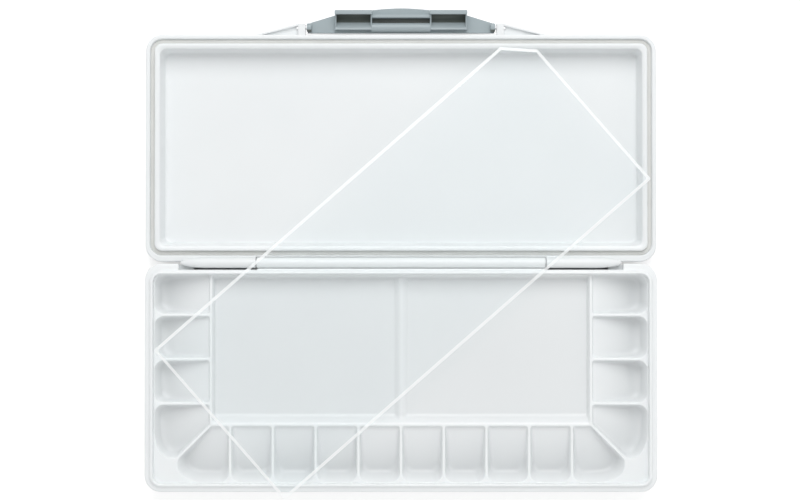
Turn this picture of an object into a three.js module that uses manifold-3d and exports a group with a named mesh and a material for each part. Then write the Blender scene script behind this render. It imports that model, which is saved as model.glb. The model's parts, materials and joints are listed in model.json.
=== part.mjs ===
// A folding watercolor palette with an airtight lid, opened flat.
// Millimetres, +X to the right, +Y from the base towards the lid, +Z up from the table.
// Shapes are written with the hinge axis at y = 0; the last group moves the origin to the
// middle of the part's footprint.

import * as THREE from 'three';
import { mergeVertices } from 'three/addons/utils/BufferGeometryUtils.js';
import Module from 'manifold-3d';

const wasm = await Module();
wasm.setup();

// Both halves
const trayWidth = 310;
const trayDepth = 138;
const cornerRadius = 10;
const innerCornerRadius = 4;
const axisHeight = 16;
const halvesGap = 1.2;
const pieceGap = 0.3;
const cutOverrun = 1;
const sunkJoin = 0.5;
const rearEdge = halvesGap / 2;
const frontEdge = rearEdge + trayDepth;
const halfWidth = trayWidth / 2;

// Rims: the base's bead enters the lid's seal groove when the palette is closed
const rimRise = 1.4;
const rimWidth = 2.4;
const rimChamfer = 0.7;
const grooveWidth = 3;
const grooveDepth = 3.6;
const beadRise = 1.8;
const beadGap = 0.4;
const beadRound = 0.6;
const hingeSideExtra = 1.2;
const baseRimTop = axisHeight + rimRise;
const lidRimTop = axisHeight - rimRise - pieceGap;
const grooveOuter = rimWidth;
const grooveInner = rimWidth + grooveWidth;
const beadTop = baseRimTop + beadRise;
const sealThickness = grooveDepth - pieceGap - beadRise;

// Base walls, land and floors
const flangeThickness = 3.6;
const flangeOverhang = 3.5;
const wallDraft = 2;
const footChamfer = 0.8;
const channelDepth = 0.5;
const channelWidth = 0.7;
const landTop = 14;
const rearWallInset = 0.5;
const baseWallTop = baseRimTop - flangeThickness;

// Paint wells round three sides of the mixing area
const wellInset = 0.2;
const ribThickness = 1.5;
const sideWellLength = 33.4;
const frontWellLength = 34.1;
const frontRibsEachSide = 4;
const frontRibSetback = 10.9;
const sideRibs = 3;
const sideRibSetback = 12;
const rearWellShortfall = 1.8;
const wellOuterRadius = 5;
const wellInnerRadius = 0.8;
const wellDeepFloor = 3;
const wellShallowFloor = 10.5;
const wellOuterSlope = 4.5;
const wellSideDraft = 1.2;
const wellInnerDraft = 0.6;
const wellMouthRear = 7.4;
const mixingHalfWidth = halfWidth - grooveInner - wellInset - sideWellLength - ribThickness;
const mixingFront = frontEdge - grooveInner - wellInset - frontWellLength - ribThickness;
const frontWellPitch = (mixingHalfWidth - frontRibSetback) / frontRibsEachSide;
const lastSideRib = mixingFront - sideRibSetback;
const sideWellPitch = (lastSideRib + ribThickness / 2 - wellMouthRear + rearWellShortfall) / sideRibs;

// Corner wells: a slanted rib splits each front corner in two
const cornerWellEnd = 22;
const cornerWellRadius = 10;
const cornerWellTipRadius = 4;
const cornerRampTurn = 0.35;

// Mixing area
const mixingRear = 7.8;
const mixingFloor = 9;
const mixingFrontSlope = 3.8;
const mixingRearSlope = 1.8;
const mixingSideSlope = 1.3;
const mixingCornerRadius = 2;
const centreRibRise = 2.2;
const centreRibWidth = 8;
const skin = 2;
const pocketSpread = 18;
const pocketRearWall = 3.4;

// Lid
const lidFlangeThickness = 5.3;
const lidWallInset = 4.6;
const lidFloor = 2.2;
const innerBeadWidth = 2.3;
const innerBeadRise = 0.8;
const lidSlopeWidth = 3.5;

// Hinge: one barrel on the base between two knuckles on the lid
const barrelRadius = 3.2;
const knuckleSetback = 21.3;
const knuckleLength = 45.8;
const knuckleTipLength = 15.7;
const knuckleGap = 0.4;
const recessGap = 0.4;
const baseRecessGap = 0.8;
const recessEndGap = 0.9;
const webThickness = 2;
const webDrop = 0.4;
const hingePinRadius = 1.1;
const pinClearance = 0.35;
const hingePinInBase = 14;
const hingePinInLid = 24;
const knuckleEnd = halfWidth - knuckleSetback;
const knuckleStart = knuckleEnd - knuckleLength;
const barrelHalfLength = knuckleStart - knuckleGap;

// Latch, written in its own frame: u outwards and w up from the latch axis
const latchDrop = 3;
const latchOut = 4.6;
const flapHalfWidth = 56.9;
const flapReach = 12.1;
const flapNear = 3.2;
const flapThickness = 1.8;
const flapDrop = 1.7;
const bossRadius = 2.65;
const bossLength = 2.9;
const bossOverhang = 0.4;
const catchGap = 0.4;
const catchDepth = 2.5;
const hookThickness = 2.6;
const hookStart = 17.5;
const hookWidth = 22.7;
const heelRise = 2.4;
const heelThickness = 1.3;
const heelBack = 1.6;
const flapBarrelRadius = 2.6;
const ledgeThickness = 1.7;
const ledgeRise = 3;
const ledgeOut = 6.4;
const postGap = 1.2;
const postWidth = 4.5;
const postReach = 2.4;
const postDrop = 3.1;
const strutLength = 26.8;
const strutThickness = 1.4;
const strutWebThickness = 1.4;
const latchPinRadius = 1.2;
const latchPinInBoss = 2.3;
const latchAxisY = frontEdge + latchOut;
const latchAxisZ = lidRimTop - latchDrop;
const postStart = flapHalfWidth + postGap;
const postEnd = postStart + postWidth;
const strutEnd = postEnd + strutLength;
const hookEnd = hookStart + hookWidth;

// Clear sheet, laid slantwise over both halves
const sheetLength = 294;
const sheetDepth = 120;
const sheetThickness = 1.6;
const sheetCornerCut = 16;
const sheetCornerRadius = 1.2;
const sheetAngle = THREE.MathUtils.degToRad(41.2);
const sheetCentreX = 0.9;
const sheetCentreY = -1.1;

// Number of straight steps in round stretches
const cornerSteps = 7;
const wellCornerSteps = 4;
const rodSides = 20;
const flapArchSteps = 16;
const sheetCornerSteps = 3;
const pinSides = 12;

const whitePlastic = new THREE.MeshStandardMaterial({ color: 0xf1f3f4, roughness: 0.32, metalness: 0 });
const greySeal = new THREE.MeshStandardMaterial({ color: 0xc2c4c0, roughness: 0.6, metalness: 0 });
const greyLatch = new THREE.MeshStandardMaterial({ color: 0xa3b2b3, roughness: 0.4, metalness: 0 });
const steel = new THREE.MeshStandardMaterial({ color: 0xb9bcc0, roughness: 0.3, metalness: 1 });
const clearSheet = new THREE.MeshStandardMaterial({
  color: 0xf4f9fb, roughness: 0.08, metalness: 0, transparent: true, opacity: 0.25,
});

// A closed surface through rings with the same number of points, with a flat cap at each end
function loft(rings) {
  const count = rings[0].length;
  const positions = rings.flat().flatMap((point) => [point.x, point.y, point.z]);
  const index = [];
  for (let ring = 0; ring + 1 < rings.length; ring += 1) {
    for (let i = 0; i < count; i += 1) {
      const a = ring * count + i;
      const b = ring * count + ((i + 1) % count);
      index.push(a, b, b + count, a, b + count, a + count);
    }
  }
  const last = (rings.length - 1) * count;
  for (let i = 1; i + 1 < count; i += 1) {
    index.push(0, i + 1, i);
    index.push(last, last + i, last + i + 1);
  }
  return surface(positions, index);
}

// A closed ring-shaped surface: a closed section carried round an outline
function hoop(rings) {
  const count = rings[0].length;
  const positions = rings.flat().flatMap((point) => [point.x, point.y, point.z]);
  const index = [];
  for (let ring = 0; ring < rings.length; ring += 1) {
    const next = (ring + 1) % rings.length;
    for (let i = 0; i < count; i += 1) {
      const j = (i + 1) % count;
      index.push(ring * count + i, ring * count + j, next * count + j);
      index.push(ring * count + i, next * count + j, next * count + i);
    }
  }
  return surface(positions, index);
}

function surface(positions, index) {
  const geometry = new THREE.BufferGeometry();
  geometry.setAttribute('position', new THREE.Float32BufferAttribute(positions, 3));
  geometry.setIndex(index);
  return geometry;
}

// A geometry as a solid that can be joined and cut, without the triangles that close up at a pole
function toSolid(geometry) {
  const bare = new THREE.BufferGeometry();
  bare.setAttribute('position', geometry.getAttribute('position'));
  if (geometry.index) bare.setIndex(geometry.index);
  const merged = mergeVertices(bare);
  const corners = Array.from(merged.index.array);
  const triVerts = [];
  for (let i = 0; i < corners.length; i += 3) {
    const [a, b, c] = corners.slice(i, i + 3);
    if (a !== b && b !== c && c !== a) triVerts.push(a, b, c);
  }
  return new wasm.Manifold(new wasm.Mesh({
    numProp: 3,
    vertProperties: new Float32Array(merged.getAttribute('position').array),
    triVerts: new Uint32Array(triVerts),
  }));
}

// A solid as a flat-shaded geometry
function toGeometry(solid) {
  const mesh = solid.getMesh();
  const geometry = surface(Array.from(mesh.vertProperties), Array.from(mesh.triVerts));
  const facets = geometry.toNonIndexed();
  facets.computeVertexNormals();
  return facets;
}

function joinAll(geometries) {
  return geometries.map(toSolid).reduce((whole, solid) => whole.add(solid));
}

function subtractAll(solid, cutters) {
  return cutters.reduce((whole, cutter) => whole.subtract(cutter), solid);
}

function cutAll(solid, geometries) {
  return subtractAll(solid, geometries.map(toSolid));
}

// Right-hand pieces and their mirror images
function bothSides(geometries) {
  const solids = geometries.map(toSolid);
  return [...solids, ...solids.map((solid) => solid.mirror([1, 0, 0]))];
}

// Corner points with every corner rounded; corners run anticlockwise and turn left only
function roundedOutline(corners, radii, steps) {
  return corners.flatMap((corner, i) => {
    const before = corners[(i + corners.length - 1) % corners.length];
    const after = corners[(i + 1) % corners.length];
    const back = before.clone().sub(corner).normalize();
    const ahead = after.clone().sub(corner).normalize();
    const half = Math.acos(THREE.MathUtils.clamp(back.dot(ahead), -1, 1)) / 2;
    const centre = back.clone().add(ahead).setLength(radii[i] / Math.sin(half)).add(corner);
    const start = back.clone().multiplyScalar(radii[i] / Math.tan(half)).add(corner).sub(centre);
    return Array.from({ length: steps[i] + 1 }, (_, step) => {
      const turn = (Math.PI - 2 * half) * (step / steps[i]);
      return start.clone().rotateAround(new THREE.Vector2(), turn).add(centre);
    });
  });
}

// Corners moved inwards, each edge by its own distance; edge i runs from corner i to the next
function insetCorners(corners, insets) {
  const count = corners.length;
  const edges = corners.map((corner, i) => {
    const along = corners[(i + 1) % count].clone().sub(corner).normalize();
    const inwards = new THREE.Vector2(-along.y, along.x);
    return { inwards, offset: inwards.dot(corner) + insets[i] };
  });
  return corners.map((_, i) => {
    const one = edges[(i + count - 1) % count];
    const two = edges[i];
    const scale = one.inwards.cross(two.inwards);
    return new THREE.Vector2(
      (one.offset * two.inwards.y - two.offset * one.inwards.y) / scale,
      (one.inwards.x * two.offset - two.inwards.x * one.offset) / scale,
    );
  });
}

function rectangle(left, right, low, high) {
  return [[left, low], [right, low], [right, high], [left, high]].map((p) => new THREE.Vector2(...p));
}

function atHeight(outline, heightOf) {
  return outline.map((point) => new THREE.Vector3(point.x, point.y, heightOf(point)));
}

// One ring of a half's outline, drawn in from its sides and front, and from its hinge side.
// side is -1 for the base and 1 for the lid.
function halfRing(side, inset, rearInset, height) {
  const near = side * (rearEdge + rearInset);
  const far = side * (frontEdge - inset);
  const corners = rectangle(-halfWidth + inset, halfWidth - inset, Math.min(near, far), Math.max(near, far));
  const radius = Math.max(cornerRadius - inset, innerCornerRadius);
  const outline = roundedOutline(corners, corners.map(() => radius), corners.map(() => cornerSteps));
  return atHeight(outline, () => height);
}

function boxAt(left, right, near, far, low, high) {
  const box = new THREE.BoxGeometry(right - left, far - near, high - low);
  return box.translate((left + right) / 2, (near + far) / 2, (low + high) / 2);
}

// A section of [y, z] points carried along X
function barAlongX(section, start, end) {
  const shape = new THREE.Shape(section.map((p) => new THREE.Vector2(...p)));
  const bar = new THREE.ExtrudeGeometry(shape, { depth: end - start, bevelEnabled: false });
  const turn = new THREE.Matrix4().makeBasis(
    new THREE.Vector3(0, 1, 0), new THREE.Vector3(0, 0, 1), new THREE.Vector3(1, 0, 0),
  );
  return bar.applyMatrix4(turn).translate(start, 0, 0);
}

function rodAlongX(radius, start, end, y, z, sides = rodSides) {
  const rod = new THREE.CylinderGeometry(radius, radius, end - start, sides);
  return rod.rotateZ(Math.PI / 2).translate((start + end) / 2, y, z);
}

function plateUpZ(points, low, high) {
  const shape = new THREE.Shape(points);
  return new THREE.ExtrudeGeometry(shape, { depth: high - low, bevelEnabled: false }).translate(0, 0, low);
}

// A hole for a pin: its flats clear the pin all round
function holeAlongX(pinRadius, start, end, y, z) {
  const radius = (pinRadius + pinClearance) / Math.cos(Math.PI / pinSides);
  return rodAlongX(radius, start, end, y, z, pinSides);
}

function node(name, solid, material) {
  const mesh = new THREE.Mesh(toGeometry(solid), material);
  mesh.name = name;
  return mesh;
}

function mirrored(corners) {
  return corners.map((corner) => new THREE.Vector2(-corner.x, corner.y)).reverse();
}

// A paint well to be cut from the base: a cup whose floor rises from its outer wall inwards.
// kinds names each edge as outer, side or inner; ramp points outwards.
function wellCup({ corners, radii, kinds, ramp }) {
  const cornerLossShare = 0.3;
  const wallFootShare = 0.25;
  const midDraftShare = 0.4;
  const drafts = { outer: wellOuterSlope, side: wellSideDraft, inner: wellInnerDraft };
  const insets = kinds.map((kind) => drafts[kind]);
  const reach = corners.map((corner) => corner.dot(ramp));
  const shallow = Math.min(...reach);
  const deep = Math.max(...reach) - wellOuterSlope;
  const floorAt = (point) => THREE.MathUtils.mapLinear(
    point.dot(ramp), shallow, deep, wellShallowFloor, wellDeepFloor,
  );
  const steps = radii.map((radius) => (radius > 2 * wellInnerRadius ? wellCornerSteps : 1));
  const ring = (share, heightOf) => {
    const drawnIn = insetCorners(corners, insets.map((inset) => inset * share));
    const footRadii = radii.map((radius) => radius * (1 - share * cornerLossShare));
    return atHeight(roundedOutline(drawnIn, footRadii, steps), heightOf);
  };
  const midHeight = (point) => floorAt(point) + (landTop - floorAt(point)) * wallFootShare;
  return loft([
    ring(1, floorAt),
    ring(midDraftShare, midHeight),
    ring(0, () => landTop),
    ring(0, () => landTop + cutOverrun),
  ]);
}

// The wells of the left side, the front row and the two left corner wells
function wellShapes() {
  const outerX = -(halfWidth - grooveInner - wellInset);
  const outerY = -(frontEdge - grooveInner - wellInset);
  const innerX = -(mixingHalfWidth + ribThickness);
  const innerY = -(mixingFront + ribThickness);
  const halfRib = ribThickness / 2;

  const ribLines = Array.from({ length: sideRibs }, (_, i) => -(lastSideRib - i * sideWellPitch)).reverse();
  const sideTops = [-wellMouthRear, ...ribLines.slice(0, -1).map((y) => y - halfRib)];
  const sideWells = ribLines.map((y, i) => ({
    corners: rectangle(outerX, innerX, y + halfRib, sideTops[i]),
    radii: [wellOuterRadius, wellInnerRadius, wellInnerRadius, wellOuterRadius],
    kinds: ['side', 'inner', 'side', 'outer'],
    ramp: new THREE.Vector2(-1, 0),
  }));

  const frontWells = Array.from({ length: 2 * frontRibsEachSide }, (_, i) => {
    const start = (i - frontRibsEachSide) * frontWellPitch + halfRib;
    return {
      corners: rectangle(start, start + frontWellPitch - ribThickness, outerY, innerY),
      radii: [wellOuterRadius, wellOuterRadius, wellInnerRadius, wellInnerRadius],
      kinds: ['outer', 'side', 'inner', 'side'],
      ramp: new THREE.Vector2(0, -1),
    };
  });

  // Both corner wells in one frame: a runs out from the mixing corner to the wall, b along the wall
  const slantHalf = halfRib * Math.SQRT2;
  const cornerWell = (wallA, nearB) => [
    [wallA, nearB], [wallA, cornerWellEnd], [cornerWellEnd + slantHalf, cornerWellEnd],
    [ribThickness, ribThickness - slantHalf], [ribThickness, nearB],
  ];
  const fromMixingCorner = (out, down) => new THREE.Vector2(-mixingHalfWidth - out, -mixingFront - down);
  const cornerRadii = [
    wellOuterRadius, cornerWellRadius, cornerWellTipRadius, wellInnerRadius, wellInnerRadius,
  ];
  const cornerKinds = ['outer', 'outer', 'side', 'inner', 'side'];
  const lastFrontRib = frontRibsEachSide * frontWellPitch;
  const sideCorner = cornerWell(-outerX - mixingHalfWidth, lastSideRib + halfRib - mixingFront);
  const frontCorner = cornerWell(-outerY - mixingFront, lastFrontRib + halfRib - mixingHalfWidth);
  const cornerWells = [
    {
      corners: sideCorner.map(([a, b]) => fromMixingCorner(a, b)),
      radii: cornerRadii,
      kinds: cornerKinds,
      ramp: new THREE.Vector2(-1, -cornerRampTurn).normalize(),
    },
    {
      corners: frontCorner.map(([a, b]) => fromMixingCorner(b, a)).reverse(),
      radii: [...cornerRadii].reverse(),
      kinds: [...cornerKinds.slice(0, -1).reverse(), cornerKinds.at(-1)],
      ramp: new THREE.Vector2(-cornerRampTurn, -1).normalize(),
    },
  ];

  const leftWells = [...sideWells, ...cornerWells];
  const rightWells = leftWells.map(({ corners, radii, kinds, ramp }) => ({
    corners: mirrored(corners),
    radii: [...radii].reverse(),
    kinds: [...kinds.slice(0, -1).reverse(), kinds.at(-1)],
    ramp: new THREE.Vector2(-ramp.x, ramp.y),
  }));
  return [...leftWells, ...frontWells, ...rightWells];
}

// The two mixing areas, cut as one basin; the low centre rib is added afterwards
function mixingBasin() {
  const corners = rectangle(-mixingHalfWidth, mixingHalfWidth, -mixingFront, -mixingRear);
  const slopes = [mixingFrontSlope, mixingSideSlope, mixingRearSlope, mixingSideSlope];
  const radii = corners.map(() => mixingCornerRadius);
  const steps = corners.map(() => wellCornerSteps);
  const ring = (share, height) => atHeight(
    roundedOutline(insetCorners(corners, slopes.map((slope) => slope * share)), radii, steps), () => height,
  );
  return loft([ring(1, mixingFloor), ring(0, landTop), ring(0, landTop + cutOverrun)]);
}

function centreRib() {
  const steps = 8;
  const crest = Array.from({ length: steps + 1 }, (_, i) => {
    const share = 1 - (2 * i) / steps;
    const rise = centreRibRise * Math.cos((share * Math.PI) / 2) ** 2;
    return new THREE.Vector2((share * centreRibWidth) / 2, mixingFloor + rise);
  });
  const foot = mixingFloor - skin / 2;
  const section = [-1, 1].map((side) => new THREE.Vector2((side * centreRibWidth) / 2, foot)).concat(crest);
  const length = mixingFront - mixingRear + 2 * sunkJoin;
  const rib = new THREE.ExtrudeGeometry(new THREE.Shape(section), { depth: length, bevelEnabled: false });
  return rib.rotateX(Math.PI / 2).translate(0, -mixingRear + sunkJoin, 0);
}

// Hollow underside below the mixing area and the shallow ends of the wells
function underPocket() {
  const top = rectangle(
    -mixingHalfWidth + mixingSideSlope, mixingHalfWidth - mixingSideSlope,
    -mixingFront + mixingFrontSlope, -mixingRear - mixingRearSlope,
  );
  const mouth = rectangle(
    -mixingHalfWidth - pocketSpread, mixingHalfWidth + pocketSpread,
    -mixingFront - pocketSpread, -rearEdge - pocketRearWall,
  );
  const radii = top.map(() => cornerRadius);
  const steps = top.map(() => wellCornerSteps);
  const height = mixingFloor - skin;
  const slantPerHeight = cutOverrun / height;
  const below = mouth.map((corner, i) => corner.clone().lerp(top[i], -slantPerHeight));
  return loft([
    atHeight(roundedOutline(below, radii, steps), () => -cutOverrun),
    atHeight(roundedOutline(top, radii, steps), () => height),
  ]);
}

function baseTray() {
  const beadOuter = grooveOuter + beadGap;
  const beadInner = grooveInner - beadGap;
  const rear = (inset) => inset + hingeSideExtra;
  const channelStart = beadOuter - channelWidth;
  const channelFloor = baseRimTop - channelDepth;
  const wallFoot = flangeOverhang + wallDraft;
  const shell = loft([
    halfRing(-1, wallFoot + footChamfer, rearWallInset + footChamfer, 0),
    halfRing(-1, wallFoot, rearWallInset, footChamfer),
    halfRing(-1, flangeOverhang, rearWallInset, baseWallTop),
    halfRing(-1, rimChamfer, 0, baseWallTop),
    halfRing(-1, 0, 0, baseWallTop + rimChamfer),
    halfRing(-1, 0, 0, baseRimTop - rimChamfer),
    halfRing(-1, rimChamfer, rimChamfer, baseRimTop),
    halfRing(-1, channelStart - channelDepth, rear(channelStart - channelDepth), baseRimTop),
    halfRing(-1, channelStart, rear(channelStart), channelFloor),
    halfRing(-1, beadOuter, rear(beadOuter), channelFloor),
    halfRing(-1, beadOuter, rear(beadOuter), beadTop - beadRound),
    halfRing(-1, beadOuter + beadRound, rear(beadOuter + beadRound), beadTop),
    halfRing(-1, beadInner - beadRound, rear(beadInner - beadRound), beadTop),
    halfRing(-1, beadInner, rear(beadInner), beadTop - beadRound),
    halfRing(-1, beadInner, rear(beadInner), landTop),
  ]);
  const barrel = rodAlongX(barrelRadius, -barrelHalfLength, barrelHalfLength, 0, axisHeight);
  const recessFloor = axisHeight - barrelRadius - recessGap;
  const recessDepth = barrelRadius + baseRecessGap;
  const recess = boxAt(
    barrelHalfLength - sunkJoin, knuckleEnd + recessEndGap, -recessDepth, cutOverrun,
    recessFloor, beadTop + cutOverrun,
  );
  const pinHole = holeAlongX(
    hingePinRadius, barrelHalfLength - hingePinInBase, barrelHalfLength + cutOverrun, 0, axisHeight,
  );
  const hollow = cutAll(toSolid(shell), [mixingBasin(), underPocket(), ...wellShapes().map(wellCup)]);
  const notched = subtractAll(hollow, bothSides([recess]));
  const solid = subtractAll(notched.add(toSolid(centreRib())).add(toSolid(barrel)), bothSides([pinHole]));
  return node('base_tray', solid, whitePlastic);
}

// A hinge knuckle with a tip shaped like the end of a pen, on the right-hand side
function lidKnuckle() {
  const tipSteps = 8;
  const tipStart = knuckleEnd - knuckleTipLength;
  const tipRoundShare = 0.97;
  const profile = [new THREE.Vector2(0, knuckleStart), new THREE.Vector2(barrelRadius, knuckleStart)];
  for (let i = 0; i <= tipSteps; i += 1) {
    const share = (tipRoundShare * i) / tipSteps;
    const along = tipStart + knuckleTipLength * (share / tipRoundShare);
    profile.push(new THREE.Vector2(barrelRadius * Math.sqrt(1 - share * share), along));
  }
  profile.push(new THREE.Vector2(0, knuckleEnd));
  const knuckle = new THREE.LatheGeometry(profile, rodSides);
  return knuckle.rotateZ(-Math.PI / 2).translate(0, 0, axisHeight);
}

// The piece that ties a knuckle to the lid's rear wall, on the right-hand side
function knuckleWeb() {
  const low = axisHeight - barrelRadius;
  const end = knuckleEnd - barrelRadius / 2;
  return boxAt(knuckleStart, end, rearEdge, rearEdge + webThickness, low, axisHeight - webDrop);
}

// A latch post with its slanted strut, on the right-hand side
function latchPost() {
  const outerY = latchAxisY + postReach;
  const low = latchAxisZ - postDrop;
  const inY = frontEdge - sunkJoin;
  const post = boxAt(postStart, postEnd, inY, outerY, low, lidRimTop - pieceGap);
  const webLow = lidRimTop - lidFlangeThickness + rimChamfer;
  const at = (x, y) => new THREE.Vector2(x, y);
  const web = plateUpZ([
    at(postEnd - sunkJoin, inY), at(strutEnd, inY), at(strutEnd, frontEdge),
    at(postEnd - sunkJoin, outerY),
  ], webLow, webLow + strutWebThickness);
  const strut = plateUpZ([
    at(postEnd - sunkJoin, outerY - strutThickness), at(strutEnd - 2 * strutThickness, inY),
    at(strutEnd, inY), at(strutEnd, frontEdge), at(postEnd - sunkJoin, outerY),
  ], webLow, lidRimTop - rimChamfer);
  return [post, web, strut];
}

function lidShell() {
  const rear = (inset) => inset + hingeSideExtra;
  const flangeLow = lidRimTop - lidFlangeThickness;
  const innerBeadEnd = grooveInner + innerBeadWidth;
  const wallFoot = innerBeadEnd;
  const floorStart = innerBeadEnd + lidSlopeWidth;
  const innerBeadTop = lidRimTop + innerBeadRise;
  const shell = loft([
    halfRing(1, wallFoot + footChamfer, rearWallInset + footChamfer, 0),
    halfRing(1, wallFoot, rearWallInset, footChamfer),
    halfRing(1, lidWallInset, rearWallInset, flangeLow),
    halfRing(1, rimChamfer, 0, flangeLow),
    halfRing(1, 0, 0, flangeLow + rimChamfer),
    halfRing(1, 0, 0, lidRimTop - rimChamfer),
    halfRing(1, rimChamfer, rimChamfer, lidRimTop),
    halfRing(1, grooveOuter, rear(grooveOuter), lidRimTop),
    halfRing(1, grooveOuter, rear(grooveOuter), lidRimTop - grooveDepth),
    halfRing(1, grooveInner, rear(grooveInner), lidRimTop - grooveDepth),
    halfRing(1, grooveInner, rear(grooveInner), innerBeadTop - beadRound),
    halfRing(1, grooveInner + beadRound, rear(grooveInner + beadRound), innerBeadTop),
    halfRing(1, innerBeadEnd - beadRound, rear(innerBeadEnd - beadRound), innerBeadTop),
    halfRing(1, innerBeadEnd, rear(innerBeadEnd), innerBeadTop - beadRound),
    halfRing(1, floorStart, rear(floorStart), lidFloor),
  ]);
  const recess = boxAt(
    -knuckleStart, knuckleStart, -cutOverrun, barrelRadius + recessGap,
    axisHeight - barrelRadius - recessGap, axisHeight + barrelRadius,
  );
  const added = bothSides([lidKnuckle(), knuckleWeb(), ...latchPost()]);
  const joined = added.reduce((whole, solid) => whole.add(solid), cutAll(toSolid(shell), [recess]));
  const holes = bothSides([
    holeAlongX(hingePinRadius, knuckleStart - cutOverrun, knuckleStart + hingePinInLid, 0, axisHeight),
    holeAlongX(latchPinRadius, postStart - cutOverrun, postEnd + cutOverrun, latchAxisY, latchAxisZ),
  ]);
  return node('lid_shell', subtractAll(joined, holes), whitePlastic);
}

function lidGasket() {
  const rear = (inset) => inset + hingeSideExtra;
  const outer = grooveOuter + pieceGap;
  const inner = grooveInner - pieceGap;
  const low = lidRimTop - grooveDepth + pieceGap;
  const high = low + sealThickness;
  const dome = pieceGap;
  const section = [
    [outer, low], [outer, high - dome], [outer + dome, high],
    [inner - dome, high], [inner, high - dome], [inner, low],
  ];
  const rings = section.map(([inset, z]) => halfRing(1, inset, rear(inset), z));
  return node('lid_gasket', toSolid(hoop(rings)), greySeal);
}

// The flap's outline seen from above, in the latch frame
function flapOutline() {
  const endReachShare = 0.22;
  const endReach = flapReach * endReachShare;
  const archShares = [[0.706, 0.645], [0.387, 0.868], [0, 1], [-0.387, 0.868], [-0.706, 0.645]];
  const arch = new THREE.SplineCurve(
    archShares.map(([x, u]) => new THREE.Vector2(x * flapHalfWidth, u * flapReach)),
  );
  const rightSide = [-flapNear, endReach].map((u) => new THREE.Vector2(flapHalfWidth, u));
  return [...rightSide, ...arch.getPoints(flapArchSteps), ...mirrored(rightSide)];
}

// The hook's section as [u, w] points: it reaches over the base's flange when latched
function hookSection() {
  const mouth = latchDrop + pieceGap + flangeThickness + catchGap;
  const tip = latchOut + catchDepth;
  const foot = -(flapDrop + flapThickness / 2);
  const heelFront = -(heelBack - heelThickness);
  const hollowSteps = 8;
  const hollowDepth = heelRise + flapDrop / 2;
  const hollow = Array.from({ length: hollowSteps + 1 }, (_, i) => {
    const turn = (Math.PI * i) / hollowSteps;
    const across = (mouth + heelFront) / 2 + ((mouth - heelFront) / 2) * Math.cos(turn);
    return [across, heelRise - hollowDepth * Math.sin(turn)];
  });
  return [
    [-heelBack, foot], [mouth + hookThickness, foot], [mouth + hookThickness, tip], [mouth, tip],
    ...hollow, [-heelBack, heelRise],
  ];
}

function latchFlap() {
  const plateTop = -flapDrop;
  const plate = plateUpZ(flapOutline(), plateTop - flapThickness, plateTop);
  const sunk = plateTop - flapThickness / 2;
  const middleEnd = hookStart + sunkJoin;
  const middle = [
    rodAlongX(flapBarrelRadius, -middleEnd, middleEnd, 0, 0),
    boxAt(-middleEnd, middleEnd, ledgeOut, ledgeOut + ledgeThickness, sunk, ledgeRise),
  ];
  const bossEnd = flapHalfWidth + bossOverhang;
  const ends = bothSides([
    barAlongX(hookSection(), hookStart, hookEnd), rodAlongX(bossRadius, bossEnd - bossLength, bossEnd, 0, 0),
  ]);
  const pinHole = holeAlongX(latchPinRadius, bossEnd - latchPinInBoss, bossEnd + cutOverrun, 0, 0);
  const joined = ends.reduce((whole, end) => whole.add(end), joinAll([plate, ...middle]));
  const flap = node('latch_flap', subtractAll(joined, bothSides([pinHole])), greyLatch);
  flap.position.set(0, latchAxisY, latchAxisZ);
  return flap;
}

// A left and a right pin lying along X, each from start to end of its side
function pinPair(prefix, radius, start, end, y, z) {
  const half = (end - start) / 2;
  return [[-1, 'left'], [1, 'right']].map(([side, word]) => {
    const pin = node(`${prefix}_${word}`, toSolid(rodAlongX(radius, -half, half, 0, 0, pinSides)), steel);
    pin.position.set(side * (start + half), y, z);
    return pin;
  });
}

function sheetOutline() {
  const endX = sheetLength / 2;
  const endY = sheetDepth / 2;
  const cutCorner = [[endX, endY - sheetCornerCut], [endX - sheetCornerCut, endY]];
  const points = [[-endX, -endY], [endX, -endY], ...cutCorner, [-endX, endY]];
  const corners = points.map((p) => new THREE.Vector2(...p));
  return roundedOutline(corners, corners.map(() => sheetCornerRadius), corners.map(() => sheetCornerSteps));
}

function mixingSheet() {
  const sheet = node('mixing_sheet', toSolid(plateUpZ(sheetOutline(), 0, sheetThickness)), clearSheet);
  sheet.rotation.z = sheetAngle;
  const rest = Math.max(axisHeight + barrelRadius, beadTop) + pieceGap;
  sheet.position.set(sheetCentreX, sheetCentreY, rest);
  return sheet;
}

const base = new THREE.Group();
base.add(baseTray());
base.add(...pinPair(
  'hinge_pin', hingePinRadius, barrelHalfLength - hingePinInBase + pieceGap,
  knuckleStart + hingePinInLid - pieceGap, 0, axisHeight,
));

const lid = new THREE.Group();
lid.add(lidShell(), lidGasket(), latchFlap());
lid.add(...pinPair(
  'latch_pin', latchPinRadius, flapHalfWidth + bossOverhang - latchPinInBoss + pieceGap, postEnd,
  latchAxisY, latchAxisZ,
));

const palette = new THREE.Group();
palette.add(base, lid, mixingSheet());

// The origin is the middle of the footprint: from the sheet's front corner to the flap's far edge
const sheetFront = Math.min(...sheetOutline().map(
  (point) => point.clone().rotateAround(new THREE.Vector2(), sheetAngle).y,
)) + sheetCentreY;
palette.position.y = -(sheetFront + latchAxisY + flapReach) / 2;

const part = new THREE.Group();
part.add(palette);

export default part;
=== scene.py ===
"""Looks of a folding watercolor palette, opened flat with a clear sheet lying over it.

Every length is in millimetres until a piece is placed. Shapes are written with the hinge axis at
y = 0 and the table at z = 0, and placed() turns them into metres in the frame.
"""

import json
import math

import bmesh
import bpy
import numpy as np
from mathutils import Matrix, Vector


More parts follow.
